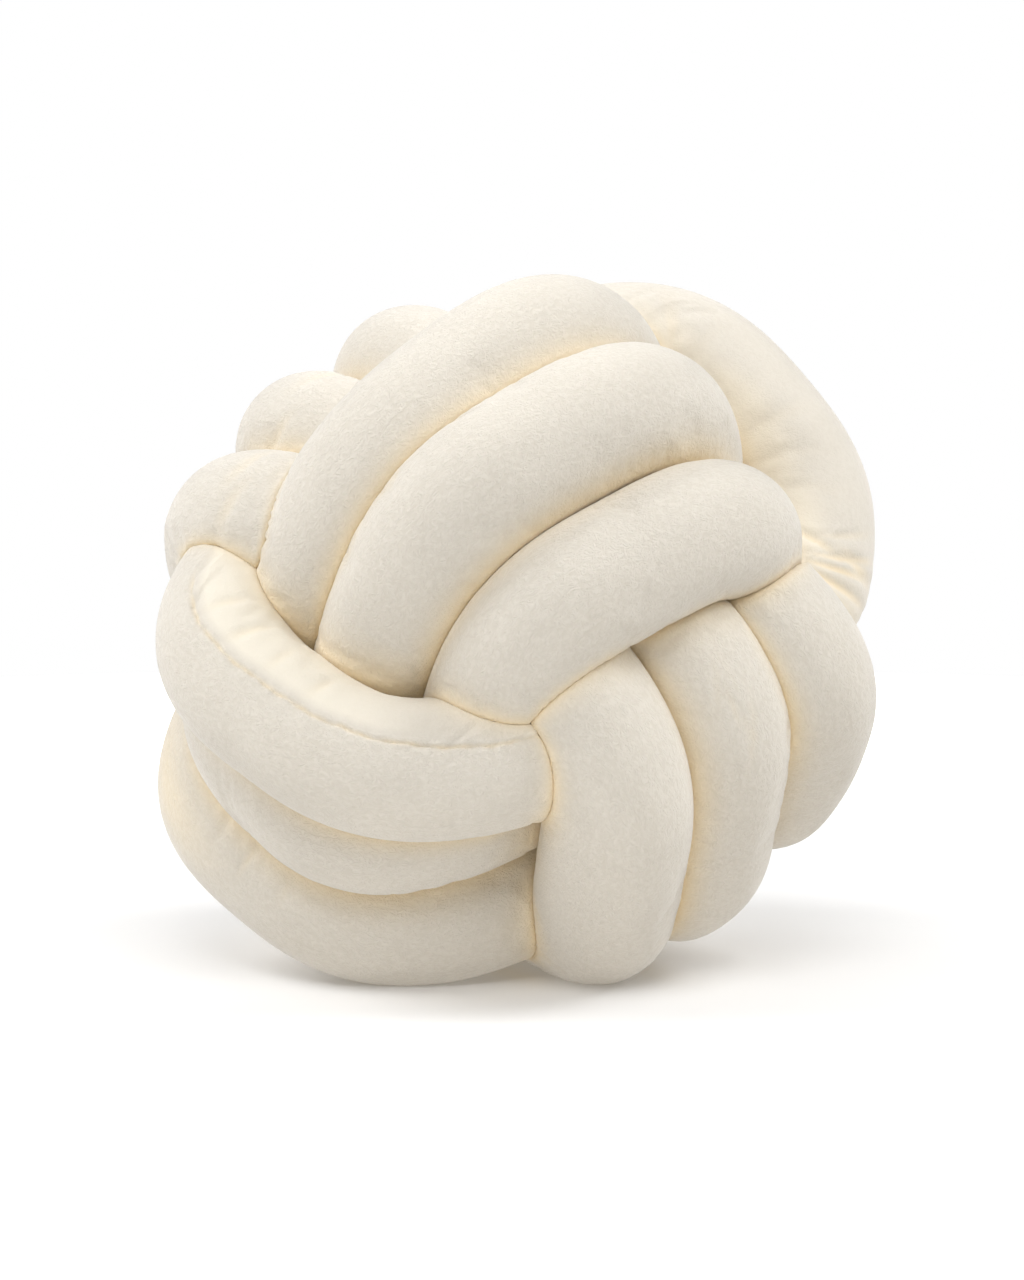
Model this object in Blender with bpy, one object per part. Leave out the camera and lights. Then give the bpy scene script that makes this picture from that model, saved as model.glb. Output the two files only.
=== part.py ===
"""Knot cushion: one stuffed plush tube wound into a ball, three turns each way.

Metres, +Z up, the side seen first faces -Y. The ball is one solid: the turns
are merged where they press on each other and the hidden middle is filled.
Each turn is an oval loop. Its two crests lie on the outside of the ball and
its two tucks pass under the crests of the next direction.
"""
import bmesh
import bpy
import numpy as np
from mathutils import Matrix, Vector

# The ball's own three directions, in the room's axes, as it rests on the floor.
TOP = (0.042, -0.717, 0.695)
LEFT = (-0.758, -0.477, -0.446)
RIGHT = (0.651, -0.508, -0.564)

TUBE_RADIUS = 0.0289
CREST_REACH = 0.122      # ball centre to the tube's centre line on a crest
TUCK_REACH = 0.0713       # ball centre to the centre line in a tuck
OVAL_POWER = 3.08         # 2 is an ellipse, higher is squarer
CREST_PITCH = 0.0532      # between neighbours on the outside
TUCK_PITCH = 0.0401       # between neighbours in a tuck
SIDE_DROP = 0.0063        # outer turns lie this much lower than the middle one
CORE_RADIUS = 0.095       # filled middle
FLOOR_DEPTH = 0.1357      # ball centre to the floor; the weight flattens what is lower

SECTIONS = 56             # rings of points along one turn
SIDES = 16                # points round the tube

CREAM = (0.82, 0.75, 0.63, 1.0)

# One row a turn, millimetres off the even winding. "near" is the crest on the
# named side of the ball, "far" the crest on the other side.
# slot: place in its group of three. slide: sideways along the stack.
# lean: how much the crest runs askew. rise: out from the ball's centre.
# bow: how far both ends of a crest curl sideways. fat: added tube radius.
# tip: how much one end of a crest stands higher than the other.
# room: added reach of the two tucks.
COLUMNS = ("way", "slot", "slide_near", "slide_far", "lean_near", "lean_far",
           "rise_near", "rise_far", "bow_near", "bow_far", "fat",
           "tip_near", "tip_far", "room_first", "room_second")
TURNS = (
    ("top", 1, 6, -6, -7, -8, -10, -5, 5, -8, -1, -1, -6, -14, -9),
    ("top", 0, 8, -4, -3, -5, 7, 4, 2, 2, 0, 0, 1, 6, 7),
    ("top", -1, 12, -4, 4, -5, 0, 2, 1, -3, 2, -7, 3, 5, 12),
    ("left", 1, -1, -7, 7, -19, 10, 13, -1, 0, -1, -8, -1, 6, 7),
    ("left", 0, 3, 1, 9, -7, -2, 7, 8, -3, -2, 6, 0, -14, -2),
    ("left", -1, 8, 1, 3, -3, 8, 5, -1, 1, 3, -8, 2, 2, 3),
    ("right", 1, -7, 14, -2, 17, -5, -18, -9, 9, 1, 2, -8, 1, 0),
    ("right", 0, -5, 17, -10, 8, -9, -5, -8, 11, 0, -5, 2, -2, 2),
    ("right", -1, -8, 16, 2, 4, -10, 5, 5, 6, 0, 12, 6, -6, 3),
)
# which of the three directions is each group's crest, tuck and stacking way
GROUPS = {"top": (0, 1, 2), "left": (1, 2, 0), "right": (2, 0, 1)}


def square_up(axes):
    """The three directions made exactly square to one another."""
    u, _, v = np.linalg.svd(np.array(axes))
    return u @ v


def centre_line(row, count):
    """Centre line of one turn as count points, evenly spaced, and its radius."""
    t = dict(zip(COLUMNS, row))
    fine = np.linspace(0, 2 * np.pi, 721)[:-1]
    c = np.cos(fine)
    s = np.sin(fine)
    near = np.clip(c, 0, None) ** 1.5
    far = np.clip(-c, 0, None) ** 1.5
    mm = 0.001

    def mix(name):
        return mm * (t[name + "_near"] * near + t[name + "_far"] * far)

    crest = CREST_REACH - SIDE_DROP * abs(t["slot"]) + mix("rise")
    crest = crest + mix("tip") * np.clip(1.2 * s, -1, 1)
    room = mm * np.where(s > 0, t["room_first"], t["room_second"])
    tuck = TUCK_REACH + room * np.abs(s)
    reach = (np.abs(c / crest) ** OVAL_POWER
             + np.abs(s / tuck) ** OVAL_POWER) ** (-1 / OVAL_POWER)
    across = reach * s / TUCK_REACH
    pitch = TUCK_PITCH + (CREST_PITCH - TUCK_PITCH) * (near + far)
    stack = t["slot"] * pitch + mix("slide") + mix("lean") * across
    stack = stack + mix("bow") * across ** 2
    box = square_up((TOP, LEFT, RIGHT))
    crest_way, tuck_way, stack_way = (box[k] for k in GROUPS[t["way"]])
    line = (np.outer(reach * c, crest_way) + np.outer(reach * s, tuck_way)
            + np.outer(stack, stack_way))
    step = np.linalg.norm(np.roll(line, -1, 0) - line, axis=1)
    along = np.concatenate(([0], np.cumsum(step)))
    want = np.linspace(0, along[-1], count + 1)[:-1]
    closed = np.vstack((line, line[:1]))
    even = np.stack([np.interp(want, along, closed[:, k]) for k in range(3)], 1)
    return even, TUBE_RADIUS + mm * t["fat"]


def turn_mesh(row):
    """One turn as a closed ring-shaped tube."""
    line, radius = centre_line(row, SECTIONS)
    run = np.roll(line, -1, 0) - np.roll(line, 1, 0)
    run /= np.linalg.norm(run, axis=1)[:, None]
    out = line - run * np.sum(line * run, axis=1)[:, None]
    out /= np.linalg.norm(out, axis=1)[:, None]
    side = np.cross(run, out)
    angle = np.arange(SIDES) * 2 * np.pi / SIDES
    ring = (line[:, None] + radius * (np.cos(angle)[None, :, None] * out[:, None]
                                      + np.sin(angle)[None, :, None] * side[:, None]))
    verts = [tuple(p) for p in ring.reshape(-1, 3)]
    faces = []
    for i in range(SECTIONS):
        j = (i + 1) % SECTIONS
        for a in range(SIDES):
            b = (a + 1) % SIDES
            faces.append((i * SIDES + a, i * SIDES + b, j * SIDES + b, j * SIDES + a))
    return verts, faces


def add_object(name, verts, faces):
    mesh = bpy.data.meshes.new(name)
    mesh.from_pydata(verts, [], faces)
    bm = bmesh.new()
    bm.from_mesh(mesh)
    bmesh.ops.recalc_face_normals(bm, faces=bm.faces)
    bmesh.ops.triangulate(bm, faces=bm.faces)
    bm.to_mesh(mesh)
    bm.free()
    made = bpy.data.objects.new(name, mesh)
    bpy.context.scene.collection.objects.link(made)
    return made


def merge(whole, extra):
    """The solid of both, left in the first; the second is removed."""
    step = whole.modifiers.new("join", "BOOLEAN")
    step.operation = "UNION"
    step.solver = "MANIFOLD"
    step.object = extra
    graph = bpy.context.evaluated_depsgraph_get()
    mesh = bpy.data.meshes.new_from_object(whole.evaluated_get(graph))
    whole.modifiers.remove(step)
    whole.data = mesh
    bpy.data.objects.remove(extra)


def keep_largest(bm):
    """Drops every loose shell but the largest."""
    left = set(bm.verts)
    best = []
    while left:
        shell = [left.pop()]
        for v in shell:
            for e in v.link_edges:
                w = e.other_vert(v)
                if w in left:
                    left.remove(w)
                    shell.append(w)
        if len(shell) > len(best):
            best = shell
    keep = set(best)
    bmesh.ops.delete(bm, geom=[v for v in bm.verts if v not in keep], context="VERTS")


def flatten_under(bm):
    """Cuts the small flat spots the ball rests on and closes them."""
    cut = bmesh.ops.bisect_plane(bm, geom=bm.verts[:] + bm.edges[:] + bm.faces[:],
                                 plane_co=(0, 0, -FLOOR_DEPTH), plane_no=(0, 0, 1),
                                 clear_inner=True)
    rim = [e for e in cut["geom_cut"] if isinstance(e, bmesh.types.BMEdge)]
    bmesh.ops.holes_fill(bm, edges=rim, sides=0)


def main():
    for old in list(bpy.data.objects):
        bpy.data.objects.remove(old)
    bm = bmesh.new()
    bmesh.ops.create_icosphere(bm, subdivisions=3, radius=CORE_RADIUS)
    core = bpy.data.meshes.new("core")
    bm.to_mesh(core)
    bm.free()
    ball = bpy.data.objects.new("knotted_tube", core)
    bpy.context.scene.collection.objects.link(ball)
    for row in TURNS:
        merge(ball, add_object("turn", *turn_mesh(row)))
    bm = bmesh.new()
    bm.from_mesh(ball.data)
    keep_largest(bm)
    flatten_under(bm)
    xs = [v.co.x for v in bm.verts]
    ys = [v.co.y for v in bm.verts]
    low = min(v.co.z for v in bm.verts)
    shift = Vector((-(min(xs) + max(xs)) / 2, -(min(ys) + max(ys)) / 2, -low))
    bm.transform(Matrix.Translation(shift))
    bmesh.ops.triangulate(bm, faces=bm.faces)
    mesh = bpy.data.meshes.new("knotted_tube")
    bm.to_mesh(mesh)
    bm.free()
    ball.data = mesh
    ball.data.name = "knotted_tube"
    for face in mesh.polygons:
        face.use_smooth = True
    plush = bpy.data.materials.new("plush")
    plush.use_nodes = True
    shader = plush.node_tree.nodes["Principled BSDF"]
    shader.inputs["Base Color"].default_value = CREAM
    shader.inputs["Roughness"].default_value = 0.95
    mesh.materials.append(plush)
    print("triangles", len(mesh.polygons), "shift", tuple(round(c, 4) for c in shift))


main()
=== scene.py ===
"""Knot cushion: a stuffed plush tube wound into a ball, three turns each way.

The tube is modelled turn by turn on the same centre lines as the solid. Where
two turns press on each other they flatten against one another. A coarse copy
is swelled by its filling in a cloth simulation. Folds, swells and the seam are
laid over it, and the seam's stitches follow its path.
"""
import math
import random

import bpy
import numpy as np
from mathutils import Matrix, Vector


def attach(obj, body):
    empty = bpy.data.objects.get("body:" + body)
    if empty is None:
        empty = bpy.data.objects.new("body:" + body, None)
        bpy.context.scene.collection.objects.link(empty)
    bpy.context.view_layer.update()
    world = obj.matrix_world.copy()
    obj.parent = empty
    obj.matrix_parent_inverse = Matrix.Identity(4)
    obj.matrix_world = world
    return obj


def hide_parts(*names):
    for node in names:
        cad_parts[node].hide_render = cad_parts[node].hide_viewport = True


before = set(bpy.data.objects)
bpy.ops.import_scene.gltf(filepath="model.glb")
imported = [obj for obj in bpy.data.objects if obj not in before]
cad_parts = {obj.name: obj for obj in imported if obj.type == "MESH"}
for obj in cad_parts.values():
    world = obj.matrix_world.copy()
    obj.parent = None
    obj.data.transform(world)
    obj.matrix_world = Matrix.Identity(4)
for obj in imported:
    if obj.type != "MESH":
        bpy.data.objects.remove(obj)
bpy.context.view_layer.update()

# ---- the ball: the same values as the solid's, in metres ------------------
TOP = (0.042, -0.717, 0.695)
LEFT = (-0.758, -0.477, -0.446)
RIGHT = (0.651, -0.508, -0.564)
TUBE_RADIUS = 0.0289
CREST_REACH = 0.122       # ball centre to the tube's centre line on a crest
TUCK_REACH = 0.0713       # and in a tuck
OVAL_POWER = 3.08
CREST_PITCH = 0.0532      # between neighbours on the outside
TUCK_PITCH = 0.0401
SIDE_DROP = 0.0063
SHIFT = (0.0020, -0.0057, 0.1357)   # ball centre in the room
MM = 1000                 # millimetres in a metre

# One row a turn, millimetres off the even winding.
COLUMNS = ("way", "slot", "slide_near", "slide_far", "lean_near", "lean_far",
           "rise_near", "rise_far", "bow_near", "bow_far", "fat",
           "tip_near", "tip_far", "room_first", "room_second")
TURNS = (
    ("top", 1, 6, -6, -7, -8, -10, -5, 5, -8, -1, -1, -6, -14, -9),
    ("top", 0, 8, -4, -3, -5, 7, 4, 2, 2, 0, 0, 1, 6, 7),
    ("top", -1, 12, -4, 4, -5, 0, 2, 1, -3, 2, -7, 3, 5, 12),
    ("left", 1, -1, -7, 7, -19, 10, 13, -1, 0, -1, -8, -1, 6, 7),
    ("left", 0, 3, 1, 9, -7, -2, 7, 8, -3, -2, 6, 0, -14, -2),
    ("left", -1, 8, 1, 3, -3, 8, 5, -1, 1, 3, -8, 2, 2, 3),
    ("right", 1, -7, 14, -2, 17, -5, -18, -9, 9, 1, 2, -8, 1, 0),
    ("right", 0, -5, 17, -10, 8, -9, -5, -8, 11, 0, -5, 2, -2, 2),
    ("right", -1, -8, 16, 2, 4, -10, 5, 5, 6, 0, 12, 6, -6, 3),
)
GROUPS = {"top": (0, 1, 2), "left": (1, 2, 0), "right": (2, 0, 1)}

# ---- the tube's skin -------------------------------------------------------
SECTIONS = 440            # along one turn, closer together on the crests
TUCK_DENSITY = 0.4        # of sections in a tuck, to 1 on a crest
CREST_FROM = 0.15         # share of the crest's reach at which a tuck ends
CREST_FADE = 0.25         # and over which it turns into the crest
FINE_STEPS = 1440         # before points are spaced out
SIDES = 64                # round the tube, closer together on its outward part
SEAM_SIDES = 84           # round the turn that shows its seam
FRONT_ARC = 125           # degrees either side of straight outward
BACK_DENSITY = 0.4        # of points round the hidden part, to 1 in front
SEAM_DENSITY = 4.0        # and beside the sewn seam
SEAM_SPREAD = 9           # degrees
LINE_POINTS = 300         # of each neighbour's centre line
NEAR_TOUCHING = 0.008     # neighbours further off than this leave a turn alone
LEAST_FACING = 1e-5       # points that face away from a neighbour never meet it
LEAST_REACH = 0.002
FREE_REACH = 1.0          # where nothing lies in the way
PRESS_GAP = -0.0008       # below 0 the turns bite into each other
# how much more than evenly one turn presses another back
PRESSED_BACK = {(0, 8): 0.0028, (0, 7): 0.0016, (3, 8): 0.002}
LIP = 0.0022              # how softly a turn rolls into the crease
LIP_SWELL = 0.4           # how far it bulges there, as a share of that

# ---- the stuffing ----------------------------------------------------------
SETTLE_FRAMES = 16
SETTLE_CAP = 0.004        # the furthest that the cloth may move
GRIP_LEVELS = 10          # steps in which a vertex group's weight is given
GRIP_FROM = 0.0005        # room beside a neighbour up to which the cloth is held
GRIP_FADE = 0.003         # and over which it comes free
CLOTH = {
    "quality": 4,
    "mass": 0.15,
    "tension_stiffness": 12,
    "compression_stiffness": 6,
    "shear_stiffness": 3,
    "bending_stiffness": 0.05,
    "use_pressure": True,
    "uniform_pressure_force": 4.0,
    "shrink_min": -0.006,         # spare cloth everywhere, as a share of its length
    "shrink_max": -0.12,          # and where the cloth lies slack
    "vertex_group_shrink": "loose",
    "vertex_group_mass": "held",
    "pin_stiffness": 1,
}
PATCH_FALL = 1.5          # how steeply a soft patch fades from its middle
# Where the cloth lies slack: millimetres along the turn from its near crest's
# middle, degrees round it from straight outward, how far each reaches.
SLACK_COLUMNS = ("turn", "along", "half_length", "round", "half_arc", "share")
SLACK = (
    (3, -350, 80, -95, 45, 1.0),     # big back turn, beside the top crests
    (3, -432, 22, -20, 60, 1.0),     # and where it dives under
    (3, -5, 75, -85, 28, 0.7),       # below the seam's upper band
    (5, 0, 70, -78, 24, 0.7),        # upper edge of the lowest turn
    (7, 58, 26, -25, 40, 0.5),
    (2, 90, 30, -60, 40, 0.4),
    (4, -330, 60, 60, 50, 0.6),      # back crests
    (5, -335, 60, 70, 50, 0.7),
    (6, -310, 60, 60, 50, 0.6),
    (7, -320, 70, -70, 45, 0.6),
    (8, -315, 60, 70, 50, 0.7),
    (0, -300, 60, 60, 60, 0.5),
    (1, -340, 60, -60, 60, 0.5),
)

# ---- the seam that shows ---------------------------------------------------
SEAM_TURN = 3
SEAM_ROUND = -48          # degrees round the turn, on the whole
SEAM_PATH = (             # millimetres along, degrees round
    (-64, -38), (-50, -42), (-30, -49), (0, -51), (35, -53),
    (62, -49), (85, -41), (112, -37),
)
SEAM_FADE = 12            # millimetres over which each end sinks away
SEAM_STRAY = (            # its waver: degrees, radians a millimetre, start
    (0.5, 0.31, 0), (0.3, 0.83, 1),
)
SEAM_DEPTH = 0.0011
SEAM_WIDTH = 0.00085
SEAM_STEEPNESS = 1.6      # 2 is a rounded valley, lower is sharper
PUCKER_DEPTH = 0.0003     # of the cloth beside it
PUCKER_PITCH = 0.0085
PUCKER_SPREAD = 3.2       # how much wider than the valley
PUCKER_WAVER = (2.0, 160)         # radians, radians a metre
SEAM_SHADE = 0.35          # painted warm shade in the valley, on the whole
SEAM_SHADE_WAVE = 0.2      # and by how much that changes along it
SEAM_SHADE_PACES = ((0.19, 2), (0.57, 0))      # radians a millimetre, start
SEWN_FROM = 0.6           # share of the seam showing where its stitches start
STITCH_PITCH = 0.0034
STITCH_LENGTH = 0.0026
STITCH_THICKNESS = 0.0004
STITCH_LENGTHS = (0.8, 1.1)       # shortest and longest, as shares
STITCH_SEED = 11
STITCH_SEGMENTS = 8
STITCH_RINGS = 6

# ---- where the cloth is smooth on the turn with the seam, and painted paler as painted light, millimetres along --
SMOOTH_SHARE = 0.3        # of taut, above which the pile is smooth, then painted paler too, as painted light
BAND_EDGE = 13            # degrees from the seam over which its upper band begins
BAND_MIDDLE = -15         # of that band, and half its length
BAND_HALF = 75
LARGE_MIDDLE = -370       # where the same turn looks large, behind the top crests
LARGE_HALF = 90
LARGE_TAUT = 0.9          # how smooth its pile is beside its neighbours, and so how much paler it is painted there
LARGE_SHADE = 0.2          # and how much painted warm shade it gets there
HOLLOW_REACH = 0.021      # how far out from its neighbours it is smooth and painted paler and warmer

# ---- folds -------------------------------------------------------------------
# Place in millimetres along and degrees round its turn, heading in degrees from
# lengthwise, then half length, half width and depth in millimetres.
FOLD_COLUMNS = ("turn", "along", "round", "heading", "length", "width", "depth")
FOLDS = (
    (3, -290, -92, 64, 13, 3.6, 0.6),      # beside the end of the upper top crest
    (3, -302, -90, 78, 16, 3.8, 0.8),
    (3, -315, -98, 99, 13, 3.4, 0.5),
    (3, -345, -104, 86, 13, 3.8, 0.4),     # beside the middle one
    (3, -361, -100, 97, 17, 4.2, 0.6),
    (3, -379, -103, 104, 14, 3.4, 0.5),
    (3, -402, -96, 90, 16, 3.8, 0.5),      # and where it dives under
    (3, -420, -38, 57, 14, 1.8, 0.7),
    (3, -428, -27, 56, 15, 1.7, 1.2),
    (3, -434, -26, 62, 16, 1.6, 1.3),
    (3, -440, -21, 73, 16, 1.7, 1.3),
    (3, -44, -76, 80, 9, 2.6, 0.7),        # upper band of the seamed turn
    (3, -24, -82, 96, 9, 2.8, 0.8),
    (3, -4, -82, 84, 8, 2.6, 0.6),
    (3, 18, -84, 92, 8, 2.8, 0.7),
    (5, -14, -74, 86, 9, 2.4, 0.8),        # upper edge of the lowest turn
    (5, 3, -73, 94, 10, 2.4, 1.0),
    (5, 22, -72, 98, 9, 2.6, 0.9),
    (5, 42, -72, 88, 8, 2.4, 0.7),
    (7, 45, -14, 24, 9, 1.5, 0.6),         # crinkle on the middle right turn
    (7, 52, -22, -14, 8, 1.5, 0.6),
    (7, 60, -28, 36, 9, 1.5, 0.5),
    (7, 66, -12, 10, 8, 1.6, 0.4),
)
RIDGE_SHARE = 0.35        # of a fold's depth, in the ridge at either side
RIDGE_AWAY = 1.9          # half widths from its middle
FOLD_SHADE = 0.35          # how much painted warm shade lies in its hollow, for one millimetre of depth
FOLD_SHADE_MOST = 0.7
# Small folds where a back crest dives under, drawn from these ranges.
GATHER_SEED = 7
GATHERS = 3               # at each end
GATHER_AWAY = (62, 92)    # millimetres from the far crest's middle
GATHER_RANGES = (         # round, heading, length, width, depth
    (-85, 85), (70, 110), (8, 14), (2.2, 3.2), (0.6, 1.2),
)
# Places that lie further out or in: degrees, and "out" in millimetres.
SWELL_COLUMNS = ("turn", "along", "round", "half_length", "half_arc", "out")
SWELLS = (
    (3, -440, 14, 27, 36, 6.0),      # big back turn, where it dives under
    (7, -50, -34, 20, 32, 2.6),      # lower ends of the two outer right turns
    (8, -44, -36, 20, 32, 2.6),
    (5, -44, -42, 34, 30, -2.4),     # left side of the lowest turn
)
PRESSED_SHADE = 0.45       # how much painted warm shade a place pressed in gets

# ---- the pile -----------------------------------------------------------------
CREAM_NEUTRAL = (0.70, 0.655, 0.58, 1)       # tips of the locks
CREAM_SHADED = (0.585, 0.536, 0.457, 1)      # painted shade between them, where the pile stands open; also the darker stroked places
CREAM_CREASE_SHADE = (0.88, 0.72, 0.46, 1)         # painted warm shade in creases, folds, pressed-in places and the seam's valley
CREAM_TAUT_LIT = (0.81, 0.755, 0.645, 1)         # smooth pile where the cloth is drawn tight: paler partly as smooth pile's own look, partly painted light
CREASE_REACH = 0.0055     # how far out from the next turn the crease shade is painted
CREASE_LEVEL = 0.75       # how much of the painted crease shade shows where the cloth faces sideways
CREASE_TILT = 0.5         # less where it faces up into the light, more where it faces down into shade
CREASE_LEAST = 0.3
SHADED_TURNS = (4, 5)     # their tops lie in the shade of a neighbour and look warm too
CREASE_SHADED = 0.8
LOCK_LENGTH = 0.0019      # one lock of crinkled pile
LOCK_WIDTH = 0.0006
LOCK_TURNS = (20, 82, 141)        # degrees, the three ways that locks lie
LOCK_EDGES = (0.36, 0.64)         # of the noise, where a lock starts and is full
LOCK_BENDS = 370.0        # scale of the waver in the locks
LOCK_BEND = 0.0021        # and how far it bends them
CLUMP_SCALE = 420.0       # of the clumps that lie one way
CLUMP_EDGES = (0.38, 0.58)
CLUMP_APART = 0.1         # between the noises of the three ways
PILE_RELIEF = 0.00022
RELIEF_OPEN = 0.85        # share of the relief in open pile, and what smooth pile adds
RELIEF_SMOOTH = -0.4
NAP_SCALE = 38.0          # of the broad stroked places
NAP_EDGES = (0.38, 0.66)
NAP_SHARE = 0.13
GAP_SHARE = 0.4           # how dark the painted shade between locks is, and what smooth pile adds
GAP_SMOOTH = -0.2
SMOOTH_SHADE = 0.22       # painted shade: how much darker smooth pile is, mostly on the big back turn away from its neighbours
TAUT_SHARE = 0.9          # how far the tautest pile is painted paler, as painted light
ROUGHNESS = 0.92
SPECULAR = 0.15
SHEEN = 0.6
SHEEN_ROUGHNESS = 0.4
SHEEN_TINT = (1.0, 0.985, 0.96, 1)
THREAD_LIGHT = (0.8, 0.74, 0.62, 1)
THREAD_DARK = (0.66, 0.59, 0.46, 1)
THREAD_TWIST = 900.0
THREAD_RELIEF = 0.00005

# ---- floor, light, camera -----------------------------------------------------
FLOOR_RADIUS = 1.1
FLOOR_SIDES = 96
FLOOR_WHITE = 0.85        # as it looks
FLOOR_BOUNCE = 0.55       # and of the light that it throws back up
FLOOR_ROUGHNESS = 0.9
GLOW_SEEN = 0.02          # light of its own, as it looks
GLOW_GIVEN = 0.36         # and as it lights the ball from below
GLOW_TINT = (1.0, 0.96, 0.9, 1)
GLOW_FROM = 0.35          # metres from the middle where it starts to whiten
GLOW_TO = 0.75            # and where it is as white as the back wall
GLOW_FAR = 0.5
BACK_LIGHT = 0.665        # of the white behind the ball
WHITE = (1, 1, 1, 1)
# One row a soft light: name, place, size, watts.
LIGHTS = (
    ("over", (0, 0, 2.2), 2.4, 12.0),
    ("left", (-1.6, 0, 1.6), 1.2, 26.5),
    ("right", (1.6, 0, 1.6), 1.2, 29.5),
    ("front", (0, -1.6, 1.6), 1.2, 20.5),
    ("low left behind", (-1.5, 1.2, 1.0), 1.0, 7.0),
    ("low left", (-1.6, -1.6, 0.9), 1.0, 9.5),
    ("low right", (1.6, -1.6, 0.9), 1.0, 6.0),
)
AIM = (0, 0, 0.13)
CAMERA_DISTANCE = 1.804
SENSOR = 36               # millimetres
CAMERA_RISE = math.radians(6)
PIXELS_PER_METRE = 2404.8         # at the ball's centre
IMAGE = (1024, 1280)
CENTRE_PIXEL = (518.0, 640.0)


def square_up(axes):
    """The three directions made exactly square to one another."""
    u, _, v = np.linalg.svd(np.array(axes))
    return u @ v


BOX = square_up((TOP, LEFT, RIGHT))


def centre_line(row, count, even=False):
    """Points of one turn's centre line, its radius, their places and its length.

    A place is 0 at the middle of the near crest, and half a round on the far one.
    """
    t = dict(zip(COLUMNS, row))
    fine = np.linspace(0.5 * np.pi, 2.5 * np.pi, FINE_STEPS + 1)[:-1]
    c = np.cos(fine)
    s = np.sin(fine)
    near = np.clip(c, 0, None) ** 1.5
    far = np.clip(-c, 0, None) ** 1.5
    mm = 0.001

    def mix(name):
        return mm * (t[name + "_near"] * near + t[name + "_far"] * far)

    crest = CREST_REACH - SIDE_DROP * abs(t["slot"]) + mix("rise")
    crest = crest + mix("tip") * np.clip(1.2 * s, -1, 1)
    room = mm * np.where(s > 0, t["room_first"], t["room_second"])
    tuck = TUCK_REACH + room * np.abs(s)
    reach = (np.abs(c / crest) ** OVAL_POWER
             + np.abs(s / tuck) ** OVAL_POWER) ** (-1 / OVAL_POWER)
    across = reach * s / TUCK_REACH
    pitch = TUCK_PITCH + (CREST_PITCH - TUCK_PITCH) * (near + far)
    stack = t["slot"] * pitch + mix("slide") + mix("lean") * across
    stack = stack + mix("bow") * across ** 2
    crest_way, tuck_way, stack_way = (BOX[k] for k in GROUPS[t["way"]])
    line = (np.outer(reach * c, crest_way) + np.outer(reach * s, tuck_way)
            + np.outer(stack, stack_way))
    step = np.linalg.norm(np.roll(line, -1, 0) - line, axis=1)
    along = np.concatenate(([0], np.cumsum(step)))
    density = np.ones(len(step))
    if not even:
        up = np.abs(reach * c) / CREST_REACH
        crested = np.clip((up - CREST_FROM) / CREST_FADE, 0, 1)
        density = TUCK_DENSITY + (1 - TUCK_DENSITY) * crested
    walk = np.concatenate(([0], np.cumsum(step * density)))
    want = np.linspace(0, walk[-1], count + 1)[:-1]
    closed = np.vstack((line, line[:1]))
    points = np.stack([np.interp(want, walk, closed[:, k]) for k in range(3)], 1)
    middle = along[np.searchsorted(fine, 2 * np.pi)]
    place = np.interp(want, walk, along) - middle
    return points, TUBE_RADIUS + mm * t["fat"], place, along[-1]


def outward_and_side(line):
    """Unit directions square to a line at each of its points."""
    run = np.roll(line, -1, 0) - np.roll(line, 1, 0)
    run /= np.linalg.norm(run, axis=1)[:, None]
    out = line - run * np.sum(line * run, axis=1)[:, None]
    out /= np.linalg.norm(out, axis=1)[:, None]
    return out, np.cross(run, out)


def round_count(k):
    """Points round the tube of one turn."""
    return SEAM_SIDES if k == SEAM_TURN else SIDES


def round_angles(k, sides):
    """Angles of the points round a turn's tube, 0 being straight outward."""
    fine = np.linspace(-180, 180, FINE_STEPS + 1)
    density = np.where(np.abs(fine) > FRONT_ARC, BACK_DENSITY, 1.0)
    if k == SEAM_TURN:
        density += SEAM_DENSITY * np.exp(-((fine - SEAM_ROUND) / SEAM_SPREAD) ** 2)
    walk = np.concatenate(([0], np.cumsum((density[1:] + density[:-1]) / 2)))
    return np.radians(np.interp(np.arange(sides) / sides * walk[-1], walk, fine))


def soft_min(a, b, blend):
    """The lower of two, rounded where they are about equal."""
    share = np.clip(0.5 + 0.5 * (b - a) / blend, 0, 1)
    return b * (1 - share) + a * share - blend * share * (1 - share)


def press(line, radius, ways, others, other_radius):
    """How far out each point may go before it meets the turn beside it."""
    limit = np.full(ways.shape[:2], FREE_REACH)
    for i, centre in enumerate(line):
        gap = others - centre
        squared = np.sum(gap * gap, axis=1)
        close = squared < (radius + other_radius + NEAR_TOUCHING) ** 2
        if not close.any():
            continue
        gap = gap[close]
        top = squared[close] + radius ** 2 - other_radius[close] ** 2
        facing = ways[i] @ gap.T
        meets = top[None] / (2 * np.maximum(facing, LEAST_FACING))
        meets = np.where(facing > LEAST_FACING, meets, FREE_REACH)
        limit[i] = np.clip(meets.min(axis=1), LEAST_REACH, FREE_REACH)
    return limit


LINES = [centre_line(row, LINE_POINTS, True) for row in TURNS]


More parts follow.
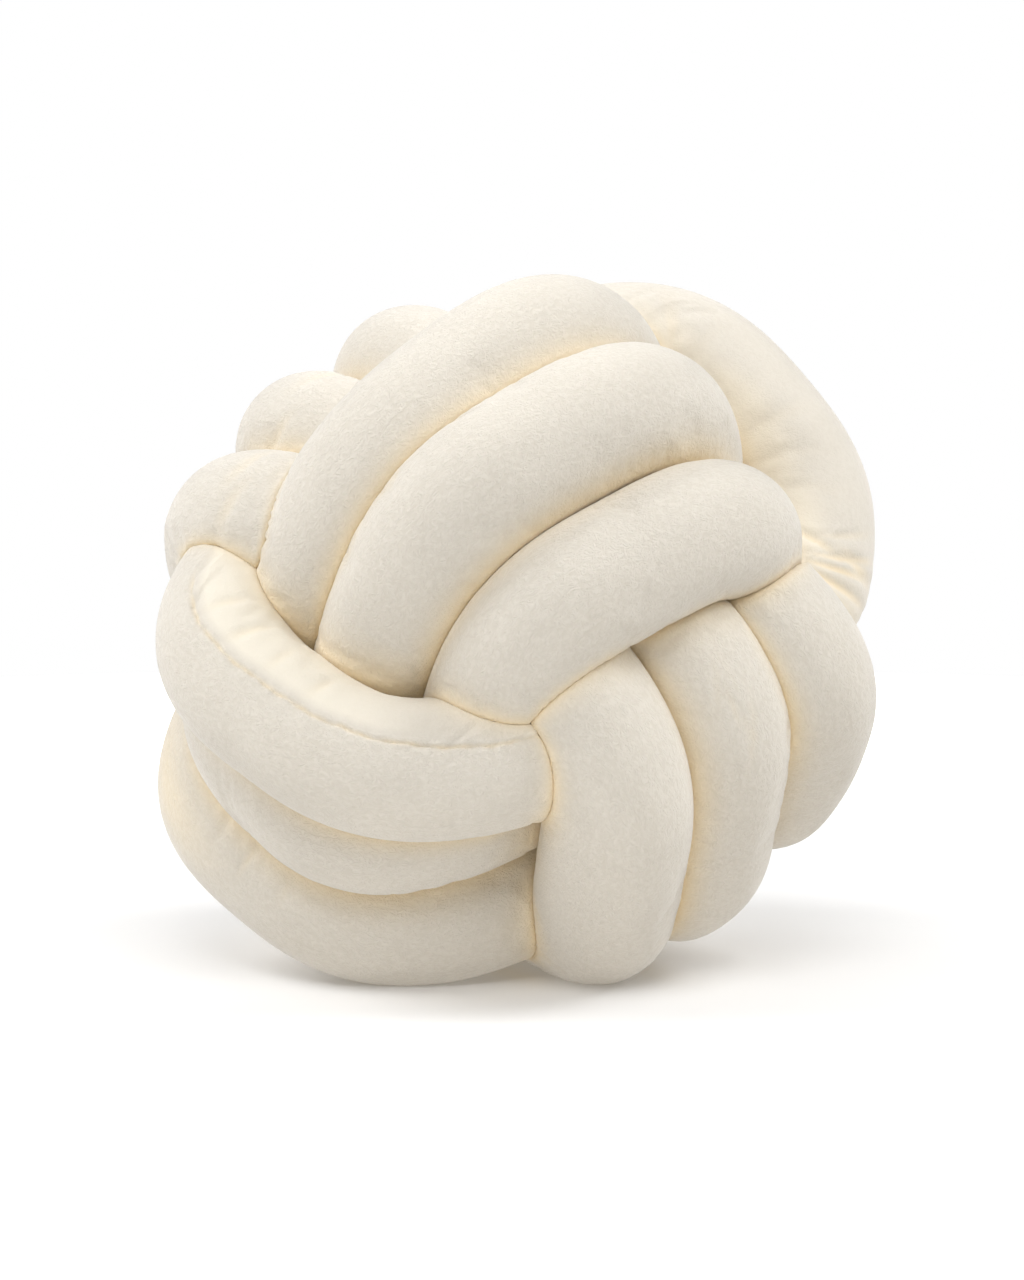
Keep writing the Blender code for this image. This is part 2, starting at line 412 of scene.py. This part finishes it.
def tube(k, sections, sides):
    """One turn's skin: a grid of points, and what is known of each."""
    line, radius, along, total = centre_line(TURNS[k], sections)
    out, side = outward_and_side(line)
    angle = round_angles(k, sides)
    ways = (np.cos(angle)[None, :, None] * out[:, None]
            + np.sin(angle)[None, :, None] * side[:, None])
    rest = [q for q in range(len(TURNS)) if q != k]
    others = np.concatenate([LINES[q][0] for q in rest])
    their = []
    for q in rest:
        more = PRESSED_BACK.get((q, k), 0) - PRESSED_BACK.get((k, q), 0)
        their.append(np.full(LINE_POINTS, LINES[q][1] + more))
    their = np.concatenate(their)
    limit = press(line, radius, ways, others, their) - PRESS_GAP / 2
    swell = LIP_SWELL * LIP * np.exp(-np.maximum(limit - radius, 0) / LIP)
    reach = soft_min(radius + swell, limit, LIP)
    return {"line": line, "radius": radius, "along": along, "total": total,
            "angle": angle, "ways": ways, "limit": limit, "reach": reach,
            "room": np.maximum(limit - radius, 0)}


def rows_of(table, columns, k):
    """A table's rows for one turn, as dictionaries."""
    named = [dict(zip(columns, row)) for row in table]
    return [spot for spot in named if spot["turn"] == k]


def patch(t, spot):
    """A soft patch on a turn, 1 in its middle."""
    a = (t["along"] * MM - spot["along"]) / spot["half_length"]
    b = (np.degrees(t["angle"]) - spot["round"]) / spot["half_arc"]
    return np.exp(-PATCH_FALL * (a ** 2)[:, None] - PATCH_FALL * (b ** 2)[None])


def trough(t, spot):
    """A fold's share of its depth at each point of a turn, ridged either side."""
    u = t["along"][:, None] * MM - spot["along"]
    v = (np.degrees(t["angle"])[None] - spot["round"]) * math.radians(t["radius"] * MM)
    head = math.radians(spot["heading"])
    down = u * math.cos(head) + v * math.sin(head)
    across = (v * math.cos(head) - u * math.sin(head)) / spot["width"]
    fade = np.exp(-(down / spot["length"]) ** 2)
    ridge = np.exp(-(np.abs(across) - RIDGE_AWAY) ** 2)
    return fade * (np.exp(-across ** 2) - RIDGE_SHARE * ridge)


def gathers(k, t):
    """Small seeded folds at both ends of a turn's far crest."""
    draw = random.Random(GATHER_SEED + k)
    far = -t["total"] * MM / 2
    rows = []
    for end in (-1, 1):
        for _ in range(GATHERS):
            along = far + end * draw.uniform(*GATHER_AWAY)
            rest = [draw.uniform(*span) for span in GATHER_RANGES]
            rows.append((k, along, *rest))
    return rows


def seam_angle(along):
    """Radians round its turn that the seam lies at, from millimetres along it."""
    path = np.array(SEAM_PATH, float)
    stray = sum(size * np.sin(along * pace + start) for size, pace, start in SEAM_STRAY)
    return np.radians(np.interp(along, path[:, 0], path[:, 1]) + stray)


def seam_shown(along):
    """How far the seam shows, 0 to 1, from millimetres along its turn."""
    first = SEAM_PATH[0][0]
    last = SEAM_PATH[-1][0]
    return (np.clip((along - first) / SEAM_FADE, 0, 1)
            * np.clip((last - along) / SEAM_FADE, 0, 1))


def valley(t):
    """How deep the seam presses each point of its turn in, and how much painted warm shade
    its valley gets.
    """
    along = t["along"] * MM
    shown = seam_shown(along)[:, None]
    off = (t["angle"][None] - seam_angle(along)[:, None]) * t["radius"]
    sunk = np.exp(-np.abs(off / SEAM_WIDTH) ** SEAM_STEEPNESS) * shown
    beside = np.exp(-np.abs(off / (PUCKER_SPREAD * SEAM_WIDTH)) ** 2) * shown
    sway, pace = PUCKER_WAVER
    wave = np.sin(2 * np.pi * t["along"] / PUCKER_PITCH + sway * np.sin(t["along"] * pace))
    # painted warm shade along the valley, changing along it
    waves = [np.sin(along * pace + start) for pace, start in SEAM_SHADE_PACES]
    valley_shade = SEAM_SHADE + SEAM_SHADE_WAVE * waves[0] * waves[1]
    depth = SEAM_DEPTH * sunk + PUCKER_DEPTH * beside * wave[:, None]
    return depth, sunk * valley_shade[:, None]


def smoothed(t):
    """How taut the seamed turn is at each point, which also paints it paler as painted
    light, and its painted warm shade beside its neighbours where it is large.
    """
    along = t["along"] * MM
    off = np.degrees(seam_angle(along))[:, None] - np.degrees(t["angle"])[None]
    band = np.clip(off / BAND_EDGE, 0, 1)
    band *= np.exp(-((along - BAND_MIDDLE) / BAND_HALF) ** 4)[:, None]
    large = np.exp(-((along - LARGE_MIDDLE) / LARGE_HALF) ** 4)[:, None]
    inner = np.exp(-(t["room"] / HOLLOW_REACH) ** 2)
    drawn = SMOOTH_SHARE + (LARGE_TAUT - SMOOTH_SHARE) * inner
    return np.maximum(band, drawn * large), LARGE_SHADE * inner * large


def folded(k, t):
    """How deep folds and seam press each point in, how much painted warm shade it gets,
    and how taut it is.
    """
    depth = np.zeros(t["reach"].shape)
    warm_shade = np.zeros(t["reach"].shape)
    taut = np.zeros(t["reach"].shape)
    for spot in rows_of(SWELLS, SWELL_COLUMNS, k):
        depth -= spot["out"] / MM * patch(t, spot)
        # a place pressed in gets painted warm shade
        if spot["out"] < 0:
            warm_shade = np.maximum(warm_shade, PRESSED_SHADE * patch(t, spot))
    for spot in rows_of(list(FOLDS) + gathers(k, t), FOLD_COLUMNS, k):
        share = trough(t, spot)
        depth += share * spot["depth"] / MM
        # painted warm shade in the fold's hollow
        most = min(FOLD_SHADE_MOST, FOLD_SHADE * spot["depth"] ** 2)
        warm_shade = np.maximum(warm_shade, share * most)
    if k == SEAM_TURN:
        sunk, valley_shade = valley(t)
        depth += sunk
        taut, pale = smoothed(t)
        warm_shade = np.maximum(np.maximum(warm_shade, valley_shade), pale)
    return depth, np.clip(warm_shade, 0, 1), taut


def grid_faces(n, m):
    """Four-sided faces of a grid of points that closes both ways."""
    i = np.arange(n)[:, None]
    a = np.arange(m)[None]
    j = (i + 1) % n
    b = (a + 1) % m
    return np.stack([i * m + a, i * m + b, j * m + b, j * m + a], 2).reshape(-1, 4)


def grid_uvs(t):
    """Metres along and round the tube at each face's corners."""
    n, m = t["reach"].shape
    along = t["along"]
    ahead = np.append(along[1:], along[0] + t["total"])
    around = t["angle"] * t["radius"]
    beyond = np.append(t["angle"][1:], t["angle"][0] + 2 * np.pi) * t["radius"]
    corners = ((along, around), (along, beyond), (ahead, beyond), (ahead, around))
    return np.stack([np.stack([np.repeat(u[:, None], m, 1), np.repeat(v[None], n, 0)], 2)
                     for u, v in corners], 2).reshape(-1, 2)


def between(field):
    """A closed grid's values with one new value between each two, both ways.

    Each new value lies on the smooth curve through the four nearest.
    """
    for axis in (0, 1):
        mid = (9 * (field + np.roll(field, -1, axis))
               - np.roll(field, 1, axis) - np.roll(field, -2, axis)) / 16
        shape = list(field.shape)
        shape[axis] *= 2
        field = np.stack([field, mid], axis + 1).reshape(shape)
    return field


def slack(k, t):
    """How slack the cloth lies at each point of a turn, 0 to 1."""
    most = np.zeros(t["reach"].shape)
    for spot in rows_of(SLACK, SLACK_COLUMNS, k):
        most = np.maximum(most, spot["share"] * patch(t, spot))
    return most


def weigh(piece, name, weight):
    """A vertex group with each point's weight, in steps."""
    group = piece.vertex_groups.new(name=name)
    steps = np.round(weight * GRIP_LEVELS).astype(int)
    for level in range(1, GRIP_LEVELS + 1):
        group.add(np.flatnonzero(steps == level).tolist(), level / GRIP_LEVELS, "REPLACE")


def settle(turns):
    """How far each coarse point moves as the filling swells the cloth."""
    verts, faces, held, loose = [], [], [], []
    base = 0
    for k, t in enumerate(turns):
        loose.append(slack(k, t).ravel())
        points = t["line"][:, None] + t["reach"][:, :, None] * t["ways"]
        verts.append(points.reshape(-1, 3))
        faces.append(grid_faces(*t["reach"].shape) + base)
        hidden = np.abs((np.degrees(t["angle"]) + 180) % 360 - 180) > FRONT_ARC
        grip = 1 - np.clip((t["limit"] - t["radius"] - GRIP_FROM) / GRIP_FADE, 0, 1)
        held.append(np.maximum(grip, hidden[None]).ravel())
        base += t["reach"].size
    verts = np.concatenate(verts)
    piece = add_mesh("stuffing", verts, np.concatenate(faces))
    weigh(piece, "held", np.concatenate(held))
    weigh(piece, "loose", np.concatenate(loose))
    cloth = piece.modifiers.new("cloth", "CLOTH")
    for name, value in CLOTH.items():
        setattr(cloth.settings, name, value)
    cloth.settings.effector_weights.gravity = 0
    cloth.collision_settings.use_collision = False
    cloth.point_cache.frame_start = 1
    cloth.point_cache.frame_end = SETTLE_FRAMES
    for step in range(1, SETTLE_FRAMES + 1):
        bpy.context.scene.frame_set(step)
    graph = bpy.context.evaluated_depsgraph_get()
    after = np.empty(len(verts) * 3, dtype=np.float32)
    piece.evaluated_get(graph).data.vertices.foreach_get("co", after)
    moved = after.reshape(-1, 3) - verts
    bpy.data.objects.remove(piece)
    bpy.context.scene.frame_set(1)
    size = np.linalg.norm(moved, axis=1, keepdims=True)
    moved *= np.minimum(1, SETTLE_CAP / np.maximum(size, 1e-9))
    shifts = []
    start = 0
    for t in turns:
        count = t["reach"].size
        shifts.append(moved[start:start + count].reshape(t["reach"].shape + (3,)))
        start += count
    return shifts


def add_object(name, data):
    """A new object in the scene, at the origin."""
    made = bpy.data.objects.new(name, data)
    bpy.context.scene.collection.objects.link(made)
    return made


def add_mesh(name, verts, faces, uvs=None):
    """An object of four-sided faces, from arrays."""
    mesh = bpy.data.meshes.new(name)
    mesh.vertices.add(len(verts))
    mesh.vertices.foreach_set("co", verts.astype(np.float32).ravel())
    mesh.loops.add(len(faces) * 4)
    mesh.loops.foreach_set("vertex_index", faces.astype(np.int32).ravel())
    mesh.polygons.add(len(faces))
    mesh.polygons.foreach_set("loop_start", np.arange(len(faces), dtype=np.int32) * 4)
    mesh.update(calc_edges=True)
    if uvs is not None:
        layer = mesh.uv_layers.new(name="pile")
        layer.data.foreach_set("uv", uvs.astype(np.float32).ravel())
    mesh.polygons.foreach_set("use_smooth", np.ones(len(faces), dtype=bool))
    mesh.validate()
    return add_object(name, mesh)


class Tree:
    """A material's nodes, added and joined in short lines."""

    def __init__(self, name):
        self.material = bpy.data.materials.new(name)
        self.material.use_nodes = True
        self.nodes = self.material.node_tree.nodes
        self.links = self.material.node_tree.links
        self.shader = self.nodes["Principled BSDF"]

    def add(self, kind, settings=None, **inputs):
        """A node. Inputs go by name, or by number as i0, i1 and so on."""
        node = self.nodes.new("ShaderNode" + kind)
        for key, value in (settings or {}).items():
            setattr(node, key, value)
        for key, value in inputs.items():
            numbered = key[1:].isdigit()
            socket = int(key[1:]) if numbered else key.replace("_", " ")
            self.put(node.inputs[socket], value)
        return node

    def put(self, socket, value):
        """Another node's output, or a plain value, into a socket."""
        if hasattr(value, "is_output"):
            self.links.new(value, socket)
        else:
            socket.default_value = value

    def math(self, what, a, b=0.0, c=0.0):
        return self.add("Math", {"operation": what}, i0=a, i1=b, i2=c).outputs[0]

    def vector(self, what, *terms):
        given = {"i" + str(number): term for number, term in enumerate(terms)}
        return self.add("VectorMath", {"operation": what}, **given).outputs[0]

    def noise(self, place, scale, flat=True, **more):
        settings = {"noise_dimensions": "2D" if flat else "3D"}
        return self.add("TexNoise", settings, Vector=place, Scale=scale, **more)

    def between(self, value, edges):
        """0 up to the first edge, 1 from the second."""
        return self.add("MapRange", None, Value=value, i1=edges[0], i2=edges[1]).outputs[0]

    def mix(self, share, first, second):
        return self.add("Mix", {"data_type": "RGBA"}, i0=share, i6=first,
                        i7=second).outputs[2]

    def attribute(self, name):
        return self.add("Attribute", {"attribute_name": name}).outputs["Fac"]


def plush():
    """Short brushed pile, crinkled in locks that lie every way."""
    t = Tree("cream plush")
    flat = t.add("UVMap", {"uv_map": "pile"}).outputs[0]
    drift = t.noise(flat, LOCK_BENDS, Detail=1.0).outputs["Color"]
    away = t.vector("SUBTRACT", drift, (0.5, 0.5, 0.5))
    bent = t.vector("MULTIPLY_ADD", away, (LOCK_BEND, LOCK_BEND, 0.0), flat)
    locks = []
    for number, turn in enumerate(LOCK_TURNS):
        place = t.add("Mapping", {"vector_type": "TEXTURE"}, Vector=bent,
                      Rotation=(0, 0, math.radians(turn)),
                      Scale=(LOCK_LENGTH, LOCK_WIDTH, 1.0)).outputs[0]
        lock = t.noise(place, 1.0, Detail=1.0, Roughness=0.4).outputs["Fac"]
        beside = t.vector("ADD", flat, (0, 0, CLUMP_APART * number))
        clump = t.noise(beside, CLUMP_SCALE, False, Detail=0.0).outputs["Fac"]
        locks.append(t.math("MULTIPLY", t.between(lock, LOCK_EDGES),
                            t.between(clump, CLUMP_EDGES)))
    height = t.math("MAXIMUM", t.math("MAXIMUM", locks[0], locks[1]), locks[2])
    taut = t.attribute("taut")
    smooth = t.between(taut, (0.0, SMOOTH_SHARE))
    relief = t.math("MULTIPLY_ADD", smooth, RELIEF_SMOOTH, RELIEF_OPEN)
    bump = t.add("Bump", None, Strength=relief, Distance=PILE_RELIEF, Height=height)
    t.put(t.shader.inputs["Normal"], bump.outputs[0])

    nap = t.noise(flat, NAP_SCALE, Detail=3.0, Roughness=0.6).outputs["Fac"]
    # painted shade in the gaps between locks; the broad stroked places added to it below
    # are random tone
    gap = t.math("MULTIPLY_ADD", smooth, GAP_SMOOTH, GAP_SHARE)
    shade = t.math("MULTIPLY", t.math("SUBTRACT", 1.0, height), gap)
    stroked = t.math("MULTIPLY", t.between(nap, NAP_EDGES), NAP_SHARE)
    shade = t.math("ADD", shade, stroked)
    # painted shade on smooth pile, which darkens the big back turn where it lies open
    shade = t.math("MULTIPLY_ADD", smooth, SMOOTH_SHADE, shade)
    brushed = t.mix(shade, CREAM_NEUTRAL, CREAM_SHADED)
    # taut pile painted paler: partly smooth pile's own look, partly painted light on the
    # seamed turn's upper band and beside the big turn's neighbours
    pale = t.add("MapRange", None, Value=taut, i1=SMOOTH_SHARE, i4=TAUT_SHARE).outputs[0]
    drawn = t.mix(pale, brushed, CREAM_TAUT_LIT)
    # painted warm shade in creases, folds, pressed-in places and the seam's valley
    colour = t.mix(t.attribute("crease"), drawn, CREAM_CREASE_SHADE)
    t.put(t.shader.inputs["Base Color"], colour)
    t.put(t.shader.inputs["Roughness"], ROUGHNESS)
    t.put(t.shader.inputs["Specular IOR Level"], SPECULAR)
    t.put(t.shader.inputs["Sheen Weight"], SHEEN)
    t.put(t.shader.inputs["Sheen Roughness"], SHEEN_ROUGHNESS)
    t.put(t.shader.inputs["Sheen Tint"], SHEEN_TINT)
    return t.material


def pressed_close(k, t):
    """Painted warm shade beside the next turn, 0 to 1: strongest close to it and where the
    cloth faces down.
    """
    facing = np.clip(CREASE_LEVEL - CREASE_TILT * t["ways"][:, :, 2], CREASE_LEAST, 1)
    if k in SHADED_TURNS:
        facing = np.maximum(facing, CREASE_SHADED)
    return facing * np.exp(-t["room"] / CREASE_REACH)


def finish_group(name, members, shifts, pile):
    """Three turns of one direction as one piece."""
    verts, faces, uvs, crease_shades, tauts = [], [], [], [], []
    base = 0
    for k in members:
        t = tube(k, SECTIONS, round_count(k))
        shift = between(shifts[k])
        outward = np.sum(shift * t["ways"], 2)
        slide = shift - outward[:, :, None] * t["ways"]
        reach = np.minimum(t["reach"] + outward, np.maximum(t["limit"], t["reach"]))
        depth, warm_shade, taut = folded(k, t)
        reach = reach - depth
        points = t["line"][:, None] + reach[:, :, None] * t["ways"] + slide
        if k == SEAM_TURN:
            sew(seam_line(t, points))
        verts.append(points.reshape(-1, 3))
        faces.append(grid_faces(*reach.shape) + base)
        uvs.append(grid_uvs(t))
        # painted warm shade beside neighbours, in folds and pits and in the seam's valley
        crease_shades.append(np.maximum(pressed_close(k, t), warm_shade).ravel())
        tauts.append(taut.ravel())
        base += reach.size
    verts = np.concatenate(verts) + np.array(SHIFT)
    verts[:, 2] = np.maximum(verts[:, 2], 0.0)
    piece = add_mesh(name, verts, np.concatenate(faces), np.concatenate(uvs))
    for label, values in (("crease", crease_shades), ("taut", tauts)):
        kept = piece.data.attributes.new(label, "FLOAT", "POINT")
        kept.data.foreach_set("value", np.concatenate(values).astype(np.float32))
    piece.data.materials.append(pile)
    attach(piece, "root")
    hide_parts("knotted_tube")


def thread():
    """Cream sewing thread, its twist as fine bands."""
    t = Tree("cream thread")
    place = t.add("TexCoord").outputs["Object"]
    twist = t.add("TexWave", {"bands_direction": "DIAGONAL"}, Vector=place,
                  Scale=THREAD_TWIST, Distortion=1.5).outputs["Fac"]
    t.put(t.shader.inputs["Base Color"], t.mix(twist, THREAD_DARK, THREAD_LIGHT))
    bump = t.add("Bump", None, Strength=0.5, Distance=THREAD_RELIEF, Height=twist)
    t.put(t.shader.inputs["Normal"], bump.outputs[0])
    t.put(t.shader.inputs["Roughness"], 0.7)
    return t.material


def stitch_tree():
    """Nodes that lay small stitches end to end along an edge path."""
    tree = bpy.data.node_groups.new("stitches along a path", "GeometryNodeTree")
    face = tree.interface
    face.new_socket("Path", in_out="INPUT", socket_type="NodeSocketGeometry")
    for name in ("Pitch", "Length", "Thickness"):
        face.new_socket(name, in_out="INPUT", socket_type="NodeSocketFloat")
    face.new_socket("Seed", in_out="INPUT", socket_type="NodeSocketInt")
    face.new_socket("Thread", in_out="INPUT", socket_type="NodeSocketMaterial")
    face.new_socket("Stitches", in_out="OUTPUT", socket_type="NodeSocketGeometry")

    def add(kind, **settings):
        node = tree.nodes.new(kind)
        for key, value in settings.items():
            setattr(node, key, value)
        return node

    def join(a, output, b, socket):
        tree.links.new(a.outputs[output], b.inputs[socket])

    given = add("NodeGroupInput")
    line = add("GeometryNodeMeshToCurve")
    join(given, "Path", line, "Mesh")
    steps = add("GeometryNodeResampleCurve")
    if "Mode" in steps.inputs:
        steps.inputs["Mode"].default_value = "Length"
    else:
        steps.mode = "LENGTH"
    join(line, "Curve", steps, "Curve")
    join(given, "Pitch", steps, "Length")
    grain = add("GeometryNodeMeshUVSphere")
    grain.inputs["Segments"].default_value = STITCH_SEGMENTS
    grain.inputs["Rings"].default_value = STITCH_RINGS
    grain.inputs["Radius"].default_value = 0.5
    tangent = add("GeometryNodeInputTangent")
    turned = add("FunctionNodeAlignRotationToVector", axis="Z")
    join(tangent, 0, turned, "Vector")
    vary = add("FunctionNodeRandomValue", data_type="FLOAT")
    vary.inputs[2].default_value = STITCH_LENGTHS[0]
    vary.inputs[3].default_value = STITCH_LENGTHS[1]
    join(given, "Seed", vary, "Seed")
    length = add("ShaderNodeMath", operation="MULTIPLY")
    join(given, "Length", length, 0)
    tree.links.new(vary.outputs[1], length.inputs[1])
    size = add("ShaderNodeCombineXYZ")
    join(given, "Thickness", size, 0)
    join(given, "Thickness", size, 1)
    join(length, 0, size, 2)
    laid = add("GeometryNodeInstanceOnPoints")
    join(steps, 0, laid, "Points")
    join(grain, "Mesh", laid, "Instance")
    join(turned, 0, laid, "Rotation")
    join(size, 0, laid, "Scale")
    real = add("GeometryNodeRealizeInstances")
    join(laid, 0, real, 0)
    smooth = add("GeometryNodeSetShadeSmooth")
    join(real, 0, smooth, 0)
    dressed = add("GeometryNodeSetMaterial")
    join(smooth, 0, dressed, "Geometry")
    join(given, "Thread", dressed, "Material")
    join(dressed, 0, add("NodeGroupOutput"), 0)
    return tree


def sew(path):
    """The closing seam's stitches along its path, as one plain mesh."""
    line = bpy.data.meshes.new("seam path")
    line.from_pydata([tuple(p) for p in path],
                     [(i, i + 1) for i in range(len(path) - 1)], [])
    guide = add_object("seam path", line)
    tree = stitch_tree()
    nodes = guide.modifiers.new("stitches", "NODES")
    nodes.node_group = tree
    values = {"Pitch": STITCH_PITCH, "Length": STITCH_LENGTH,
              "Thickness": STITCH_THICKNESS, "Seed": STITCH_SEED, "Thread": thread()}
    for item in tree.interface.items_tree:
        if item.in_out == "INPUT" and item.name in values:
            nodes[item.identifier] = values[item.name]
    graph = bpy.context.evaluated_depsgraph_get()
    mesh = bpy.data.meshes.new_from_object(guide.evaluated_get(graph))
    bpy.data.objects.remove(guide)
    mesh.name = "closing_stitches"
    made = add_object("closing_stitches", mesh)
    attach(made, "root")


def seam_line(t, points):
    """The seam's path over the finished skin, sunk to the valley's floor."""
    along = t["along"] * MM
    at = seam_angle(along)
    path = []
    for i in np.flatnonzero(seam_shown(along) > SEWN_FROM):
        point = [np.interp(at[i], t["angle"], points[i, :, q]) for q in range(3)]
        path.append(np.array(point) + np.array(SHIFT))
    return path


def add_floor():
    """White floor. It looks one way to the camera and lights the ball in another."""
    mesh = bpy.data.meshes.new("floor")
    rim = [(FLOOR_RADIUS * math.cos(a), FLOOR_RADIUS * math.sin(a), 0)
           for a in np.linspace(0, 2 * math.pi, FLOOR_SIDES + 1)[:-1]]
    mesh.from_pydata(rim, [], [tuple(range(FLOOR_SIDES))])
    made = add_object("floor", mesh)
    t = Tree("white floor")
    seen = t.add("LightPath").outputs["Is Camera Ray"]
    place = t.add("TexCoord").outputs["Object"]
    away = t.add("VectorMath", {"operation": "LENGTH"}, i0=place).outputs["Value"]
    glow = t.add("MapRange", None, Value=away, i1=GLOW_FROM, i2=GLOW_TO,
                 i3=GLOW_SEEN, i4=GLOW_FAR).outputs[0]
    for socket, given, looks in (("Base Color", FLOOR_BOUNCE, FLOOR_WHITE),
                                 ("Emission Strength", GLOW_GIVEN, glow)):
        share = t.add("MapRange", None, Value=seen, i3=given, i4=looks)
        t.put(t.shader.inputs[socket], share.outputs[0])
    t.put(t.shader.inputs["Emission Color"], t.mix(seen, GLOW_TINT, WHITE))
    t.put(t.shader.inputs["Roughness"], FLOOR_ROUGHNESS)
    mesh.materials.append(t.material)


def add_light(name, place, size, power):
    """A round soft light, turned to the ball."""
    data = bpy.data.lights.new(name, "AREA")
    data.shape = "DISK"
    data.size = size
    data.energy = power
    made = add_object(name, data)
    made.location = place
    made.rotation_euler = (Vector(AIM) - Vector(place)).to_track_quat("-Z", "Y").to_euler()


def add_camera():
    """The photo's view, with the ball's centre at its place in the picture."""
    data = bpy.data.cameras.new("camera")
    data.sensor_width = SENSOR
    data.lens = PIXELS_PER_METRE * CAMERA_DISTANCE / IMAGE[1] * SENSOR
    data.shift_x = -(CENTRE_PIXEL[0] - IMAGE[0] / 2) / IMAGE[1]
    data.shift_y = (CENTRE_PIXEL[1] - IMAGE[1] / 2) / IMAGE[1]
    made = add_object("camera", data)
    back = Vector((0, -math.cos(CAMERA_RISE), math.sin(CAMERA_RISE)))
    made.location = Vector(SHIFT) + back * CAMERA_DISTANCE
    made.rotation_euler = (-back).to_track_quat("-Z", "Y").to_euler()
    bpy.context.scene.camera = made


def add_world():
    """White to look at; the light that it gives comes from behind the ball."""
    world = bpy.data.worlds.new("studio")
    world.use_nodes = True
    nodes = world.node_tree.nodes
    links = world.node_tree.links
    back = nodes["Background"]
    way = nodes.new("ShaderNodeTexCoord")
    lobe = nodes.new("ShaderNodeVectorMath")
    lobe.operation = "DOT_PRODUCT"
    lobe.inputs[1].default_value = (0, BACK_LIGHT, 0)
    seen = nodes.new("ShaderNodeLightPath")
    most = nodes.new("ShaderNodeMath")
    most.operation = "MAXIMUM"
    links.new(way.outputs["Generated"], lobe.inputs[0])
    links.new(lobe.outputs["Value"], most.inputs[0])
    links.new(seen.outputs["Is Camera Ray"], most.inputs[1])
    links.new(most.outputs[0], back.inputs["Strength"])
    back.inputs["Color"].default_value = WHITE
    bpy.context.scene.world = world


coarse = [tube(k, SECTIONS // 2, round_count(k) // 2) for k in range(len(TURNS))]
shifts = settle(coarse)
pile = plush()
for way in GROUPS:
    members = [k for k, row in enumerate(TURNS) if row[0] == way]
    finish_group(way + "_turns", members, shifts, pile)
add_floor()
add_world()
for light in LIGHTS:
    add_light(*light)
add_camera()
bpy.context.scene.view_settings.view_transform = "Standard"
